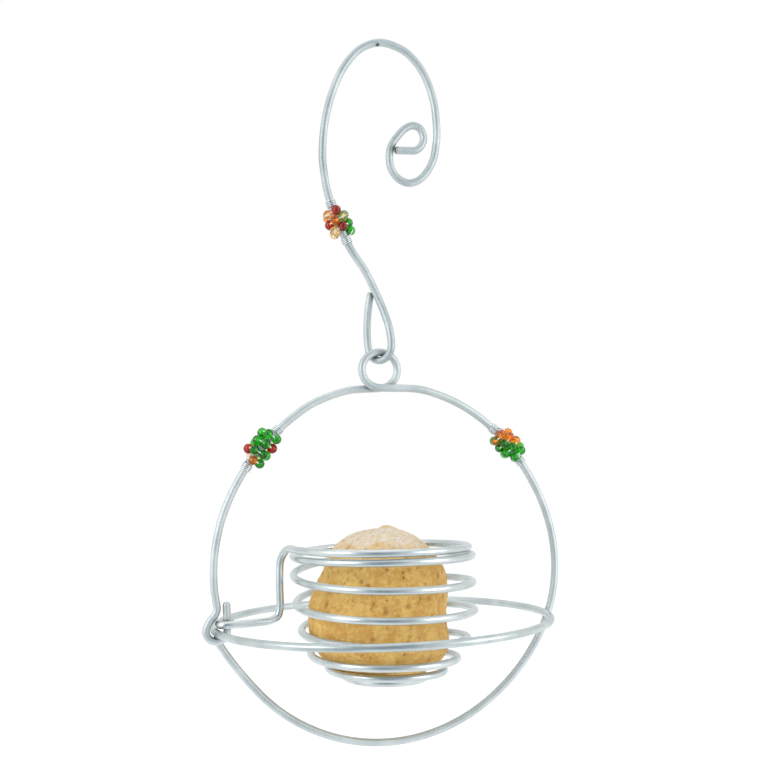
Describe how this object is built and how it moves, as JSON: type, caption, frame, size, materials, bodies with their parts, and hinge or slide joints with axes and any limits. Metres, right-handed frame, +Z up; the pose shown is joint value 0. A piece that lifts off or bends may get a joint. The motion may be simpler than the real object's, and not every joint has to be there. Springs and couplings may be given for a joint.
{
  "type": "suet feeder",
  "caption": "Bent wire bird feeder: a curled hanger hook carries a hoop with a level perch ring and a coiled cage that holds a suet ball, with clusters of glass beads wired on.",
  "frame": {"origin": "underside of the hook's crown, where a branch or bracket carries the feeder", "axes": "+Z up; the hoop and the crook lie in the XZ plane; +X towards the hoop's plain side, away from the knot that holds the cage's arm; -Y is the front"},
  "size_m": [0.1611, 0.1498, 0.3075],
  "materials": {
    "galvanised_wire": "bright zinc, satin",
    "binding_wire": "thin bright wire",
    "green_glass": "clear glass bead",
    "orange_glass": "clear glass bead",
    "amber_glass": "clear glass bead",
    "red_glass": "clear glass bead",
    "suet": "matt, crumbly fat with seeds"
  },
  "bodies": {
    "hook": {"hanger_hook": "galvanised_wire", "hook_binding_wire": "binding_wire", "hook_bead_01": "red_glass", "hook_bead_02": "amber_glass", "hook_bead_03": "orange_glass", "hook_bead_04": "green_glass", "hook_bead_05": "green_glass", "hook_bead_06": "amber_glass", "hook_bead_07": "orange_glass", "hook_bead_08": "red_glass", "hook_bead_09": "amber_glass", "hook_bead_10": "green_glass", "hook_bead_11": "green_glass", "hook_bead_12": "red_glass", "hook_bead_13": "amber_glass", "hook_bead_14": "amber_glass", "hook_bead_15": "amber_glass", "hook_bead_16": "green_glass"},
    "frame": {"hoop": "galvanised_wire", "perch_ring": "galvanised_wire", "left_binding_wire": "binding_wire", "right_binding_wire": "binding_wire", "left_bead_01": "orange_glass", "left_bead_02": "green_glass", "left_bead_03": "amber_glass", "left_bead_04": "amber_glass", "left_bead_05": "red_glass", "left_bead_06": "green_glass", "left_bead_07": "green_glass", "left_bead_08": "green_glass", "left_bead_09": "green_glass", "left_bead_10": "green_glass", "left_bead_11": "green_glass", "left_bead_12": "green_glass", "left_bead_13": "red_glass", "left_bead_14": "amber_glass", "left_bead_15": "green_glass", "left_bead_16": "green_glass", "left_bead_17": "green_glass", "left_bead_18": "green_glass", "right_bead_01": "orange_glass", "right_bead_02": "orange_glass", "right_bead_03": "green_glass", "right_bead_04": "orange_glass", "right_bead_05": "orange_glass", "right_bead_06": "orange_glass", "right_bead_07": "green_glass", "right_bead_08": "green_glass", "right_bead_09": "orange_glass", "right_bead_10": "amber_glass", "right_bead_11": "orange_glass", "right_bead_12": "green_glass", "right_bead_13": "green_glass", "right_bead_14": "green_glass", "right_bead_15": "amber_glass", "right_bead_16": "green_glass", "right_bead_17": "green_glass", "right_bead_18": "green_glass"},
    "cage": {"cage_wire": "galvanised_wire"},
    "ball": {"suet_ball": "suet"}
  },
  "joints": [
    {"name": "hook_swing", "type": "hinge", "parent": "hook", "child": "frame", "pos_m": [-0.0003, 0, -0.14075], "axis": [0, 1, 0], "range_deg": [-45, 45]},
    {"name": "cage_turn", "type": "hinge", "parent": "frame", "child": "cage", "pos_m": [-0.06682, 0, -0.24856], "axis": [-0.0298, 0, 0.9996], "range_deg": [-24, 24]},
    {"name": "ball_lift", "type": "slide", "parent": "cage", "child": "ball", "axis": [-0.0298, 0, 0.9996], "range_m": [0, 0.055]}
  ]
}
